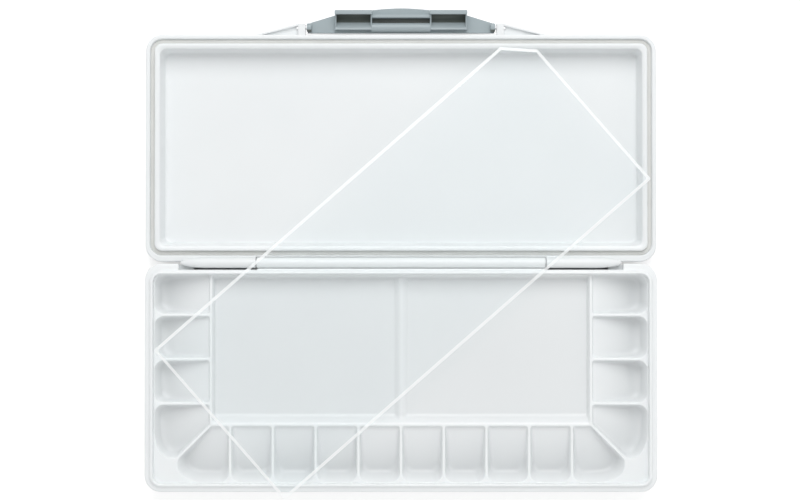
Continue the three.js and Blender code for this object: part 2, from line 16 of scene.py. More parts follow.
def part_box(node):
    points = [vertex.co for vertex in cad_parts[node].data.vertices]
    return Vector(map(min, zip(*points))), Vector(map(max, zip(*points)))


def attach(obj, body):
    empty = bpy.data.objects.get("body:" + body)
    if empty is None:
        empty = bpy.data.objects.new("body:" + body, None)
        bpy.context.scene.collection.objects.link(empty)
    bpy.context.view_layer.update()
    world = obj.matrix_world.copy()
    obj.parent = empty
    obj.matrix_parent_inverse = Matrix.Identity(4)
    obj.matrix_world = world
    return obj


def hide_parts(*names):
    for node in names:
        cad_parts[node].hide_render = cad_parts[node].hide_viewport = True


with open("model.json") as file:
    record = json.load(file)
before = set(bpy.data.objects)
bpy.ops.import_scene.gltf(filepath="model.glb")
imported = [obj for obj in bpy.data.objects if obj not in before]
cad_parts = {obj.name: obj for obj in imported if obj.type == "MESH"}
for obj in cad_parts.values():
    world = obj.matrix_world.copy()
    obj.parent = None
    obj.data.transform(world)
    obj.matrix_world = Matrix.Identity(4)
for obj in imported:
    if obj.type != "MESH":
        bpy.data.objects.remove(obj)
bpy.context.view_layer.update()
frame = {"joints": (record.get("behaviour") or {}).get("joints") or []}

# A millimetre in metres, and a length in millimetres that is too small to see
MM = 0.001
HAIR = 0.001

joints = {joint["name"]: joint for joint in frame["joints"]}
hinge_at = Vector(joints["lid_hinge"]["pos_m"]) / MM
latch_at = Vector(joints["latch_swing"]["pos_m"]) / MM
tray_low, tray_high = (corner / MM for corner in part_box("base_tray"))
sheet_low, sheet_high = (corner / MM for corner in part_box("mixing_sheet"))

# Both halves
HALF_WIDTH = tray_high.x
FRONT_EDGE = hinge_at.y - tray_low.y
REAR_EDGE = 0.6
CORNER_RADIUS = 10
INNER_CORNER_RADIUS = 4
AXIS_HEIGHT = hinge_at.z
OVERRUN = 1
TALL_OVERRUN = 3
SUNK_JOIN = 0.5
PIECE_GAP = 0.3
FINE_ROUND = 0.2
EDGE_ROUND = 0.4

# Rims: the base's bead enters the lid's seal groove when the palette is closed
BASE_RIM_TOP = AXIS_HEIGHT + 1.4
LID_RIM_TOP = AXIS_HEIGHT - 1.7
RIM_WIDTH = 2.4
RIM_ROUND = 0.9
GROOVE_WIDTH = 3
GROOVE_DEPTH = 3.6
GROOVE_LEAN = 0.8
GROOVE_END = RIM_WIDTH + GROOVE_WIDTH
BEAD_TOP = tray_high.z
BEAD_GAP = 0.4
BEAD_ROUND = 0.9
BEAD_LEAN = 0.8
BEAD_FOOT_ROUND = 1
RIM_RISE = 0.25
REAR_SLOPE = 0.6
HINGE_SIDE_EXTRA = 1.2

# Base walls and land
BASE_WALL_TOP = BASE_RIM_TOP - 3.6
FLANGE_OVERHANG = 3.5
WALL_FOOT = 5.5
FOOT_ROUND = 1.2
REAR_WALL_INSET = 0.5
LAND_TOP = 14

# Paint wells round three sides of the mixing area
WELL_INSET = 0.2
RIB_WIDTH = 1.5
SIDE_WELL_LENGTH = 33.4
FRONT_WELL_LENGTH = 34.1
FRONT_RIBS_EACH_SIDE = 4
FRONT_RIB_SETBACK = 10.9
SIDE_RIBS = 3
SIDE_RIB_SETBACK = 12
REAR_WELL_SHORTFALL = 1.8
WELL_MOUTH_REAR = 7.4
WELL_DEEP_FLOOR = 3
WELL_SHALLOW_FLOOR = 12.2
WELL_OUTER_SLOPE = 4.5
WELL_OUTER_RADIUS = 5.5
WELL_INNER_RADIUS = 1.6
WELL_FOOT_REACH = 3.5
LIP_ROUND = 0.6
OUTER_LIP_ROUND = 0.35
CORNER_WELL_END = 21
CORNER_ARC_ALONG = 9.4
CORNER_ARC_ACROSS = 5.9
CORNER_ARC_RADII = (23, 7.4)
CORNER_WELL_TIP_RADIUS = 4
CORNER_RAMP_TURN = 0.35
WELLS_HALF_WIDTH = HALF_WIDTH - GROOVE_END - WELL_INSET
WELLS_FRONT = FRONT_EDGE - GROOVE_END - WELL_INSET
MIXING_HALF_WIDTH = WELLS_HALF_WIDTH - SIDE_WELL_LENGTH - RIB_WIDTH
MIXING_FRONT = WELLS_FRONT - FRONT_WELL_LENGTH - RIB_WIDTH
LAST_FRONT_RIB = MIXING_HALF_WIDTH - FRONT_RIB_SETBACK
LAST_SIDE_RIB = MIXING_FRONT - SIDE_RIB_SETBACK

# How far each kind of well wall leans inwards per millimetre of depth, and how wide its foot's round is
WALL_LEAN = {"side_outer": 0.32, "front_outer": 0.5, "rib": 0.17, "side_inner": 0.1, "front_inner": 0.6}
FOOT_WIDTH = {"side_outer": 6, "front_outer": 2.4, "rib": 2, "side_inner": 0.9, "front_inner": 2.4}

# Mixing area
MIXING_REAR = 7.8
MIXING_FLOOR = 9
MIXING_SLOPES = {"front": 4.6, "rear": 1.8, "side": 1.3}
MIXING_DEPTH = LAND_TOP - MIXING_FLOOR
MIXING_FOOT_BLEND = 1.6
MIXING_LIP_BLEND = 0.9
RIB_RISE = 2
RIB_FOOT = 4
RIB_BLEND = 1.2
RIB_SHARPNESS = 1.5
POCKET_SPREAD = 18
POCKET_REAR_WALL = 3.4
POCKET_ROOF = 7

# Lid
LID_FLANGE = 5.3
LID_WALL_INSET = 4.6
LID_FLOOR = 2.2
INNER_BEAD_WIDTH = 2.3
INNER_BEAD_RISE = 0.8
INNER_BEAD_END = GROOVE_END + INNER_BEAD_WIDTH
LID_SLOPE = 2.6
LID_FLOOR_ROUND = 1.6
SHOULDER_WIDTH = 0.9
SHOULDER_DROP = 0.7
SHOULDER_ROUND = 0.6
SEAL_SQUEEZE = 0.05
SEAL_DOME_SHARE = 1 / 6

# Hinge
BARREL_RADIUS = 3.2
KNUCKLE_SETBACK = 21.3
KNUCKLE_LENGTH = 45.8
KNUCKLE_TIP = 15.7
KNUCKLE_GAP = 0.6
RECESS_GAP = 0.4
BASE_RECESS_GAP = 1.1
RECESS_END_GAP = 0.9
KNUCKLE_END = HALF_WIDTH - KNUCKLE_SETBACK
KNUCKLE_START = KNUCKLE_END - KNUCKLE_LENGTH
BARREL_HALF = KNUCKLE_START - KNUCKLE_GAP
WEB_THICKNESS = 2
WEB_DROP = 0.4
PIN_CLEARANCE = 0.35
SLOT_FLOOR = 4
SLOT_WIDTH = 1.8
SEAM_WIDTH = 0.6
SEAM_DEPTH = 1

# Latch: u runs outwards and w up from the latch axis
LATCH_OUT = latch_at.y - hinge_at.y - FRONT_EDGE
FLAP_HALF_WIDTH = 56.9
FLAP_REACH = 12.1
FLAP_NEAR = 3.2
FLAP_THICKNESS = 1.8
FLAP_DROP = 1.7
FLAP_SHOULDER_SHARE = 0.22
FLAP_ARCH_SHARES = ((0.706, 0.645), (0.387, 0.868), (0, 1), (-0.387, 0.868), (-0.706, 0.645))
BOSS_RADIUS = 2.65
BOSS_LENGTH = 2.9
BOSS_OVERHANG = 0.4
HOOK_START = 17.5
HOOK_END = 40.2
HOOK_MOUTH = 7.3
HOOK_THICKNESS = 2.6
HOOK_TIP = 7.1
HOOK_WALL = 0.8
HOOK_LIP = 1.4
HOOK_UNDERCUT = 1.6
HOLLOW_BOTTOM = -2.9
# The slope's middle share splits its faces near where the painted shade in the hollow starts.
HOLLOW_SLOPE_SHARES = (0, 0.55, 1)
HOLLOW_SHADE_START = 3.2
HOOK_WALL_RISE = 4
HEEL_RISE = 2.4
HEEL_THICKNESS = 1.3
HEEL_BACK = 1.6
MIDDLE_RADIUS = 2.8
TRENCH_SHADE_SHARE = 0.8
LEDGE_OUT = 5.7
LEDGE_THICKNESS = 1.9
TRENCH_DEPTH = 1.1
LEDGE_RISE = 3
POST_START = 58.1
POST_END = 62.6
POST_REACH = 2.4
POST_DROP = 3.1
STRUT_END = 89.4
STRUT_THICKNESS = 1.4

# Clear sheet
SHEET_LENGTH = 294
SHEET_DEPTH = 120
SHEET_CORNER_CUT = 16
SHEET_CORNER_RADIUS = 1.2
SHEET_ANGLE = math.radians(41.2)
SHEET_CENTRE = Vector((0.9, -1.1))

# Insets of the sheet's bevel with heights as shares of the thickness, between which shares the bevel and
# side get the painted edge highlight, and that highlight's painted glow
SHEET_BEVEL = ((0, 0.3), (0.1, 0.75), (1.8, 0.95), (2.1, 1))
PAINTED_HIGHLIGHT_SHARES = (0.1, 0.95)
PAINTED_EDGE_GLOW = 0.05

# Numbers of straight steps in round stretches, and of steps in the mixing area's grid
CORNER_STEPS = 14
WELL_CORNER_STEPS = 8
WELL_FOOT_STEPS = 8
ROUND_STEPS = 4
EDGE_STEPS = 3
ARCH_STEPS = 8
DOME_STEPS = 6
KNUCKLE_TIP_STEPS = 20
ROD_SIDES = 56
GRID_STEPS = {"side": 16, "half_width": 12, "rib": 28, "front": 22, "depth": 10, "rear": 18}

# The least turn at a sharp edge, the profile of a round one, and how far a round may reach along a way
SHARP_ANGLE = math.radians(38)
ROUND_PROFILE = 0.5
MOST_REACH_SHARE = 0.49


# Outlines

def rounded_outline(corners, radii, steps):
    """Corner points with every corner rounded; corners run anticlockwise and turn left only.

    Where an edge is too short for the rounds at its ends, these become smaller.
    """
    count = len(corners)
    ways = [(corners[(i + 1) % count] - corners[i]) for i in range(count)]
    halves = [(-ways[i - 1]).angle(ways[i]) / 2 for i in range(count)]
    reaches = [radius / math.tan(half) for radius, half in zip(radii, halves)]
    room = [min(way.length / (reaches[i] + reaches[(i + 1) % count]), 1) for i, way in enumerate(ways)]
    points = []
    for i, corner in enumerate(corners):
        reach = reaches[i] * min(room[i - 1], room[i])
        back, ahead = -ways[i - 1].normalized(), ways[i].normalized()
        centre = corner + (back + ahead).normalized() * (reach / math.cos(halves[i]))
        start = corner + back * reach - centre
        for step in range(steps[i] + 1):
            turn = (math.pi - 2 * halves[i]) * step / steps[i]
            points.append(centre + Matrix.Rotation(turn, 2) @ start)
    return points


def inset_corners(corners, insets):
    """Corners moved inwards, each edge by its own distance; edge i runs from corner i to the next."""
    return sloped_corners(corners, insets, [Vector((0, 0))] * len(corners))


def sloped_corners(corners, insets, leans):
    """Like inset_corners, but each edge's distance also grows by its lean, a vector, times the place."""
    count = len(corners)
    lines = []
    for i, corner in enumerate(corners):
        along = (corners[(i + 1) % count] - corner).normalized()
        inwards = Vector((-along.y, along.x))
        lines.append((inwards - leans[i], inwards.dot(corner) + insets[i]))
    moved = []
    for i in range(count):
        (one, one_at), (two, two_at) = lines[i - 1], lines[i]
        scale = one.x * two.y - one.y * two.x
        moved.append(Vector((one_at * two.y - two_at * one.y, one.x * two_at - two.x * one_at)) / scale)
    return moved


def rectangle(left, right, low, high):
    return [Vector(p) for p in ((left, low), (right, low), (right, high), (left, high))]


def mirrored(corners):
    return [Vector((-corner.x, corner.y)) for corner in reversed(corners)]


def ring(outline, height):
    """Outline points at a height, which is a number or a function of the point."""
    height_of = height if callable(height) else lambda point: height
    return np.array([(point.x, point.y, height_of(point)) for point in outline])


# Rings and surfaces

def bend(start, corner, end, steps=ROUND_STEPS):
    """Rings on a smooth curve from start to end that turns at corner."""
    shares = np.linspace(0, 1, steps + 1)
    return [start * (1 - t) ** 2 + corner * 2 * t * (1 - t) + end * t * t for t in shares]


def toward(here, there, reach):
    """Points moved from here towards there by reach, but less than half of the way."""
    gap = there - here
    length = np.linalg.norm(gap, axis=1, keepdims=True)
    return here + gap * np.minimum(reach / np.maximum(length, HAIR), MOST_REACH_SHARE)


def soften(rings, reaches):
    """Rings with the turn at each inner one rounded off by its reach."""
    soft = [rings[0]]
    for before, here, after, reach in zip(rings, rings[1:], rings[2:], reaches):
        if reach:
            soft += bend(toward(here, before, reach), here, toward(here, after, reach))
        else:
            soft.append(here)
    return soft + [rings[-1]]


def new_object(name, data):
    made = bpy.data.objects.new(name, data)
    bpy.context.scene.collection.objects.link(made)
    return made


def from_faces(vertices, faces, name="shape"):
    mesh = bpy.data.meshes.new(name)
    mesh.from_pydata([tuple(v) for v in vertices], [], faces)
    mesh.validate()
    return new_object(name, mesh)


def skin(rings, closed):
    """A surface through rings of equally many points, closed to a hoop or with a flat cap at each end."""
    count = len(rings[0])
    total = len(rings) * count
    last = total - count
    faces = [] if closed else [tuple(reversed(range(count))), tuple(range(last, total))]
    for level in range(0, total if closed else last, count):
        up = (level + count) % total
        for i in range(count):
            j = (i + 1) % count
            faces.append((level + i, level + j, up + j, up + i))
    return from_faces(np.concatenate(rings), faces)


def loft(rings):
    return skin(rings, closed=False)


def prism(points, low, high, round_by=0):
    """An outline carried up Z, with its edges rounded."""
    count = len(points)
    vertices = [(p[0], p[1], z) for z in (low, high) for p in points]
    sides = [(i, (i + 1) % count, count + (i + 1) % count, count + i) for i in range(count)]
    caps = [tuple(reversed(range(count))), tuple(range(count, 2 * count))]
    return rounded_edges(from_faces(vertices, sides + caps), round_by)


def rounded_edges(piece, reach):
    """The piece with its sharp edges rounded, unless reach is 0."""
    if reach:
        shape = bmesh.new()
        shape.from_mesh(piece.data)
        sharp = [edge for edge in shape.edges if edge.calc_face_angle(0) > SHARP_ANGLE]
        bmesh.ops.bevel(
            shape, geom=sharp, offset=reach, segments=EDGE_STEPS, profile=ROUND_PROFILE,
            affect="EDGES", clamp_overlap=True,
        )
        shape.to_mesh(piece.data)
        shape.free()
    return piece


def block(left, right, near, far, low, high, round_by=0):
    return prism([tuple(p) for p in rectangle(left, right, near, far)], low, high, round_by)


def along_x(piece, start):
    """Turns a piece written along Z, with x as Y and y as Z, so that it runs along X from start."""
    piece.data.transform(Matrix(((0, 0, 1, start), (1, 0, 0, 0), (0, 1, 0, 0), (0, 0, 0, 1))))
    return piece


def lathe(profile, y, z):
    """A (place along X, radius) profile turned round an axis along X."""
    turns = np.arange(ROD_SIDES) * (2 * math.pi / ROD_SIDES)
    rings = []
    for along, radius in profile:
        circle = (np.full(ROD_SIDES, along), y + radius * np.cos(turns), z + radius * np.sin(turns))
        rings.append(np.stack(circle, axis=1))
    return loft(rings)


def rod(radius, start, end, y, z, round_by=FINE_ROUND):
    if round_by:
        profile = [
            (start, radius - round_by), (start + round_by, radius),
            (end - round_by, radius), (end, radius - round_by),
        ]
    else:
        profile = [(start, radius), (end, radius)]
    return lathe(profile, y, z)


def mirror_x(piece):
    """A copy of the piece on the other side of x = 0."""
    mesh = piece.data.copy()
    mesh.transform(Matrix.Scale(-1, 4, (1, 0, 0)))
    mesh.flip_normals()
    return new_object(piece.name, mesh)


def both_sides(pieces):
    return pieces + [mirror_x(piece) for piece in pieces]


# Joining and cutting

def solve_modifiers(piece):
    """Makes what the piece's modifiers show its own mesh."""
    shown = piece.evaluated_get(bpy.context.evaluated_depsgraph_get())
    mesh = bpy.data.meshes.new_from_object(shown)
    piece.modifiers.clear()
    old = piece.data
    piece.data = mesh
    bpy.data.meshes.remove(old)
    return piece


def carve(target, tools, operation):
    """Cuts the tools from the target or joins them to it, one after the other."""
    for tool in tools:
        step = target.modifiers.new("carve", "BOOLEAN")
        step.operation = operation
        step.solver = "MANIFOLD"
        step.object = tool
    solve_modifiers(target)
    for tool in tools:
        bpy.data.objects.remove(tool)
    return target


def cut(target, tools):
    return carve(target, tools, "DIFFERENCE")


def join(target, tools):
    return carve(target, tools, "UNION")


def shaded(piece):
    """Smooth shading that keeps flat faces flat and sharp edges sharp."""
    shape = bmesh.new()
    shape.from_mesh(piece.data)
    bmesh.ops.remove_doubles(shape, verts=shape.verts, dist=HAIR)
    bmesh.ops.dissolve_degenerate(shape, edges=shape.edges, dist=HAIR)
    shape.to_mesh(piece.data)
    shape.free()
    piece.data.shade_smooth()
    piece.data.set_sharp_from_angle(angle=SHARP_ANGLE)
    weighted = piece.modifiers.new("normals", "WEIGHTED_NORMAL")
    weighted.keep_sharp = True
    return piece


def placed(piece, name, body, materials):
    """Puts a finished piece in the frame, in metres, in place of the node of its name."""
    piece.data.transform(Matrix.Scale(MM, 4) @ Matrix.Translation((0, hinge_at.y, 0)))
    piece.name = f"{name}_piece"
    piece.data.name = piece.name
    piece.data.materials.clear()
    for material in materials:
        piece.data.materials.append(material)
    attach(piece, body)
    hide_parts(name)
    return piece


# Materials

# A mix node's sockets for its first value, its second value and its result, by the kind of value
MIX_SOCKETS = {"FLOAT": (2, 3, 0), "RGBA": (6, 7, 2)}

# The part of a pattern's range that is in use, and depths, stretches and tints of surfaces
PATTERN_RANGE = (0.2, 0.8)
WAVE_DEPTH = 0.015 * MM
SHEET_WAVE_DEPTH = 0.02 * MM
SEAL_GRAIN_DEPTH = 0.02 * MM
GREY_GRAIN_DEPTH = 0.012 * MM
FINE_GRAIN_DEPTH = 0.004 * MM
DRAWN_STRETCH = (0.02, 1, 1)
STREAK_STRETCH = (1, 1, 6)
SCATTER_DEPTH = 1.5 * MM
SCATTER_COLOURS = (1, 1, 1)
ACRYLIC_IOR = 1.49
THROUGH_TINT = (0.97, 0.98, 0.98, 1)
FULL_WHITE = (1, 1, 1, 1)


def math_node(tree, operation, first, second):
    """The result of a math node of two values, of which the second may be a plain number."""
    made = tree.nodes.new("ShaderNodeMath")
    made.operation = operation
    tree.links.new(first, made.inputs[0])
    if isinstance(second, float):
        made.inputs[1].default_value = second
    else:
        tree.links.new(second, made.inputs[1])
    return made.outputs[0]


class Shader:
    """A Principled material with short ways to add nodes to it."""

    def __init__(self, name, roughness, metallic=0.0):
        self.material = bpy.data.materials.new(name)
        self.material.use_nodes = True
        self.tree = self.material.node_tree
        self.surface = self.tree.nodes["Principled BSDF"]
        self.set(self.surface, Roughness=roughness, Metallic=metallic)
        self.place = self.tree.nodes.new("ShaderNodeTexCoord").outputs["Object"]

    @staticmethod
    def set(node, **values):
        for socket, value in values.items():
            node.inputs[socket.replace("_", " ")].default_value = value

    def node(self, kind, links=(), **values):
        made = self.tree.nodes.new(kind)
        self.set(made, **values)
        for socket, source in dict(links).items():
            self.tree.links.new(source, made.inputs[socket])
        return made

    def noise(self, scale, detail=2, stretch=None):
        """A cloudy pattern with about scale clouds in a metre; stretch scales each of its directions."""
        place = self.place
        if stretch:
            place = self.node("ShaderNodeMapping", {"Vector": place}, Scale=stretch).outputs["Vector"]
        return self.node("ShaderNodeTexNoise", {"Vector": place}, Scale=scale, Detail=detail).outputs["Fac"]

    def blend(self, fac, low, high):
        """A number or a colour between low and high that follows a pattern's middle range."""
        mix = self.tree.nodes.new("ShaderNodeMix")
        mix.data_type = "RGBA" if isinstance(low, tuple) else "FLOAT"
        low_end, high_end = PATTERN_RANGE
        spread = self.node("ShaderNodeMapRange", {"Value": fac}, From_Min=low_end, From_Max=high_end)
        self.tree.links.new(spread.outputs["Result"], mix.inputs[0])
        first, second, result = MIX_SOCKETS[mix.data_type]
        mix.inputs[first].default_value = low
        mix.inputs[second].default_value = high
        return mix.outputs[result]

    def feed(self, socket, source):
        self.tree.links.new(source, self.surface.inputs[socket])

    def bump(self, *layers):
        """Adds layers of bump, each a pattern and its depth in metres, the broad ones first."""
        normal = None
        for height, depth in layers:
            links = {"Height": height}
            if normal:
                links["Normal"] = normal
            normal = self.node("ShaderNodeBump", links, Distance=depth, Strength=1.0).outputs["Normal"]
        self.feed("Normal", normal)


def white_plastic(name, low, high, painted_depth_shade):
    """Glossy white plastic between two colours, with painted shade: the colour is darkened the lower a
    surface lies, down to the last argument's share at the deepest well floor.
    """
    shader = Shader(name, roughness=0.3)
    height = shader.node("ShaderNodeSeparateXYZ", {"Vector": shader.place}).outputs["Z"]
    # Painted shade: the colour is darkened from the land down to the deepest well floor.
    rise = shader.node(
        "ShaderNodeMapRange", {"Value": height},
        From_Min=WELL_DEEP_FLOOR * MM, From_Max=LAND_TOP * MM, To_Min=painted_depth_shade,
    )
    cloud = shader.blend(shader.noise(scale=14, detail=1), low, high)
    tone_with_painted_shade = shader.node("ShaderNodeVectorMath", {0: cloud})
    tone_with_painted_shade.operation = "SCALE"
    shader.tree.links.new(rise.outputs["Result"], tone_with_painted_shade.inputs["Scale"])
    shader.feed("Base Color", tone_with_painted_shade.outputs[0])
    shader.feed("Roughness", shader.blend(shader.noise(scale=50, detail=1), low=0.29, high=0.36))
    wave, grain = shader.noise(scale=28, detail=1), shader.noise(scale=1400)
    shader.bump((wave, WAVE_DEPTH), (grain, FINE_GRAIN_DEPTH))
    shader.set(shader.surface, Subsurface_Radius=SCATTER_COLOURS)
    shader.set(shader.surface, Subsurface_Weight=0.4, Subsurface_Scale=SCATTER_DEPTH)
    return shader.material


def grey_seal():
    shader = Shader("grey_silicone_seal", roughness=0.55)
    cloud = shader.noise(scale=90, detail=3)
    shader.feed("Base Color", shader.blend(cloud, low=(0.66, 0.665, 0.645, 1), high=(0.715, 0.72, 0.7, 1)))
    shader.feed("Roughness", shader.blend(shader.noise(scale=160), low=0.5, high=0.62))
    shader.bump((shader.noise(scale=700, detail=3), SEAL_GRAIN_DEPTH))
    return shader.material


def grey_plastic(name, low, high):
    shader = Shader(name, roughness=0.4)
    shader.feed("Base Color", shader.blend(shader.noise(scale=60, detail=3), low, high))
    shader.feed("Roughness", shader.blend(shader.noise(scale=220), low=0.36, high=0.46))
    shader.bump((shader.noise(scale=1600), GREY_GRAIN_DEPTH))
    return shader.material


def drawn_steel():
    shader = Shader("drawn_steel", roughness=0.3, metallic=1)
    lines = shader.noise(scale=900, stretch=DRAWN_STRETCH)
    shader.feed("Base Color", shader.blend(lines, low=(0.52, 0.53, 0.54, 1), high=(0.62, 0.62, 0.63, 1)))
    shader.feed("Roughness", shader.blend(lines, low=0.29, high=0.38))
    shader.bump((lines, FINE_GRAIN_DEPTH))
    return shader.material


def lets_light_through(shader):
    """Clear plastic that lets lamp and sky light fall straight through on what lies under it."""
    path = shader.node("ShaderNodeLightPath").outputs
    lighting = math_node(shader.tree, "MAXIMUM", path["Is Shadow Ray"], path["Is Diffuse Ray"])
    open_way = shader.node("ShaderNodeBsdfTransparent", Color=THROUGH_TINT)
    links = {0: lighting, 1: shader.surface.outputs[0], 2: open_way.outputs[0]}
    mix = shader.node("ShaderNodeMixShader", links)
    shader.tree.links.new(mix.outputs[0], shader.tree.nodes["Material Output"].inputs["Surface"])
    return shader.material


def clear_acrylic():
    shader = Shader("clear_acrylic", roughness=0)
    shader.set(shader.surface, Base_Color=(0.985, 0.995, 1, 1), Transmission_Weight=1, IOR=ACRYLIC_IOR)
    shader.feed("Roughness", shader.blend(shader.noise(scale=35, detail=5), low=0.0, high=0.02))
    shader.bump((shader.noise(scale=14, detail=1), SHEET_WAVE_DEPTH))
    return lets_light_through(shader)


def acrylic_edge():
    """The sheet's edge, painted near white and given a faint glow as a painted highlight."""
    shader = Shader("acrylic_edge_with_painted_highlight", roughness=0.3)
    shader.set(shader.surface, Transmission_Weight=0.4, IOR=ACRYLIC_IOR)
    shader.set(shader.surface, Emission_Color=FULL_WHITE, Emission_Strength=PAINTED_EDGE_GLOW)
    streaks = shader.noise(scale=260, detail=3, stretch=STREAK_STRETCH)
    shader.feed("Base Color", shader.blend(streaks, low=(0.96, 0.985, 0.99, 1), high=(0.99, 1, 1, 1)))
    return lets_light_through(shader)


# The base's white is darkened deep in its wells and mixing area as painted shade; the lid's is not.
BASE_WHITE_WITH_PAINTED_SHADE = white_plastic(
    "glossy_white_base_with_painted_shade", low=(0.865, 0.89, 0.9, 1), high=(0.89, 0.914, 0.922, 1), painted_depth_shade=0.8,
)
LID_WHITE = white_plastic(
    "glossy_white_lid", low=(0.825, 0.85, 0.86, 1), high=(0.85, 0.874, 0.882, 1), painted_depth_shade=1,
)
SEAL = grey_seal()
GREY = grey_plastic("satin_grey_green_plastic", low=(0.33, 0.388, 0.41, 1), high=(0.362, 0.422, 0.442, 1))
# A darker copy of the latch's grey, painted in its hollows as shade.
PAINTED_SHADE_GREY = grey_plastic("satin_grey_painted_shade_in_hollows", low=(0.1, 0.115, 0.105, 1), high=(0.14, 0.16, 0.15, 1))
STEEL = drawn_steel()
CLEAR = clear_acrylic()
SHEET_EDGE_HIGHLIGHT = acrylic_edge()


# Base and lid mouldings

def half_ring(side, inset, rear_inset, height):
    """One ring of a half's outline; side is -1 for the base and 1 for the lid."""
    near = side * (REAR_EDGE + rear_inset)
    far = side * (FRONT_EDGE - inset)
    corners = rectangle(-HALF_WIDTH + inset, HALF_WIDTH - inset, min(near, far), max(near, far))
    radius = max(CORNER_RADIUS - inset, INNER_CORNER_RADIUS)
    return ring(rounded_outline(corners, [radius] * 4, [CORNER_STEPS] * 4), height)


def half_shell(side, section):
    """A half lofted through rows of inset, inset on the hinge side, height and rounding."""
    rings = [half_ring(side, inset, rear, height) for inset, rear, height, _ in section]
    return loft(soften(rings, [row[3] for row in section[1:-1]]))


def inside(inset, height, round_by):
    """A section row inside the rim, where the hinge side lies further in."""
    return inset, inset + HINGE_SIDE_EXTRA, height, round_by


def foot_rows(foot):
    """The first rows of a section: the flat underside and the foot of the walls."""
    return [
        (foot + 2 * FOOT_ROUND, REAR_WALL_INSET + 2 * FOOT_ROUND, 0, 0),
        (foot, REAR_WALL_INSET, 0, FOOT_ROUND),
    ]


def base_section():
    """Rows from the underside over the rim and its bead to the land."""
    bead_outer = RIM_WIDTH + BEAD_GAP
    bead_inner = GROOVE_END - BEAD_GAP
    land_start = bead_inner + FINE_ROUND
    rear_land_start = land_start + HINGE_SIDE_EXTRA + REAR_SLOPE
    return foot_rows(WALL_FOOT) + [
        (FLANGE_OVERHANG, REAR_WALL_INSET, BASE_WALL_TOP, EDGE_ROUND),
        (0, 0, BASE_WALL_TOP, RIM_ROUND),
        (0, 0, BASE_RIM_TOP, RIM_ROUND),
        inside(bead_outer, BASE_RIM_TOP + RIM_RISE, BEAD_FOOT_ROUND),
        inside(bead_outer + BEAD_LEAN, BEAD_TOP, BEAD_ROUND),
        inside(bead_inner, BEAD_TOP, BEAD_ROUND),
        (land_start, rear_land_start, LAND_TOP, EDGE_ROUND),
        (land_start + EDGE_ROUND, rear_land_start + EDGE_ROUND, LAND_TOP, 0),
    ]


def lid_section():
    """Rows from the underside over the rim, the seal groove and the inner bead to the floor."""
    flange_low = LID_RIM_TOP - LID_FLANGE
    groove_floor = LID_RIM_TOP - GROOVE_DEPTH
    bead_top = LID_RIM_TOP + INNER_BEAD_RISE
    floor_start = INNER_BEAD_END + LID_SLOPE
    return foot_rows(INNER_BEAD_END) + [
        (LID_WALL_INSET, REAR_WALL_INSET, flange_low, EDGE_ROUND),
        (0, 0, flange_low, RIM_ROUND),
        (0, 0, LID_RIM_TOP, RIM_ROUND),
        inside(RIM_WIDTH, LID_RIM_TOP, EDGE_ROUND),
        inside(RIM_WIDTH + GROOVE_LEAN, groove_floor, FINE_ROUND),
        inside(GROOVE_END, groove_floor, FINE_ROUND),
        inside(GROOVE_END, bead_top, BEAD_ROUND),
        inside(INNER_BEAD_END - SHOULDER_ROUND, bead_top, SHOULDER_ROUND),
        inside(INNER_BEAD_END + SHOULDER_WIDTH, bead_top - SHOULDER_DROP, SHOULDER_ROUND),
        inside(floor_start, LID_FLOOR, LID_FLOOR_ROUND),
        inside(floor_start + 2 * LID_FLOOR_ROUND, LID_FLOOR, 0),
    ]


# Paint wells

def well_cutter(corners, radii, kinds, ramp):
    """A paint well to be cut from the base: a scoop whose floor falls towards its outer wall."""
    reach = [corner.dot(ramp) for corner in corners]
    deep_at = max(reach) - WELL_OUTER_SLOPE
    fall = (WELL_SHALLOW_FLOOR - WELL_DEEP_FLOOR) / (deep_at - min(reach))

    def floor_at(point):
        return WELL_SHALLOW_FLOOR - fall * (point.dot(ramp) - min(reach))

    depth_at_zero = LAND_TOP - floor_at(Vector((0, 0)))
    leans = [WALL_LEAN[kind] for kind in kinds]
    insets = [lean * depth_at_zero for lean in leans]
    foot = sloped_corners(corners, insets, [ramp * (lean * fall) for lean in leans])
    floor = inset_corners(foot, [FOOT_WIDTH[kind] for kind in kinds])
    lips = [OUTER_LIP_ROUND if kind.endswith("outer") else LIP_ROUND for kind in kinds]
    mouth = inset_corners(corners, [-lip for lip in lips])
    steps = [WELL_CORNER_STEPS if radius > 2 * WELL_INNER_RADIUS else ROUND_STEPS for radius in radii]
    mouth_ring = ring(rounded_outline(mouth, [radius + LIP_ROUND for radius in radii], steps), LAND_TOP)
    edge_ring = ring(rounded_outline(corners, radii, steps), LAND_TOP)
    foot_ring = ring(rounded_outline(foot, radii, steps), floor_at)
    floor_ring = ring(rounded_outline(floor, radii, steps), floor_at)
    above = mouth_ring + np.array((0, 0, TALL_OVERRUN))
    wall_foot = toward(foot_ring, edge_ring, WELL_FOOT_REACH)
    wall_top = toward(edge_ring, foot_ring, LIP_ROUND)
    lower = bend(floor_ring, foot_ring, wall_foot, WELL_FOOT_STEPS)
    return loft(lower + bend(wall_top, edge_ring, mouth_ring) + [above])


def mirrored_well(corners, radii, kinds, ramp):
    """The same well on the right. Kinds belong to edges, so all but the last one trade places."""
    flipped_kinds = list(reversed(kinds[:-1])) + [kinds[-1]]
    return mirrored(corners), list(reversed(radii)), flipped_kinds, Vector((-ramp.x, ramp.y))


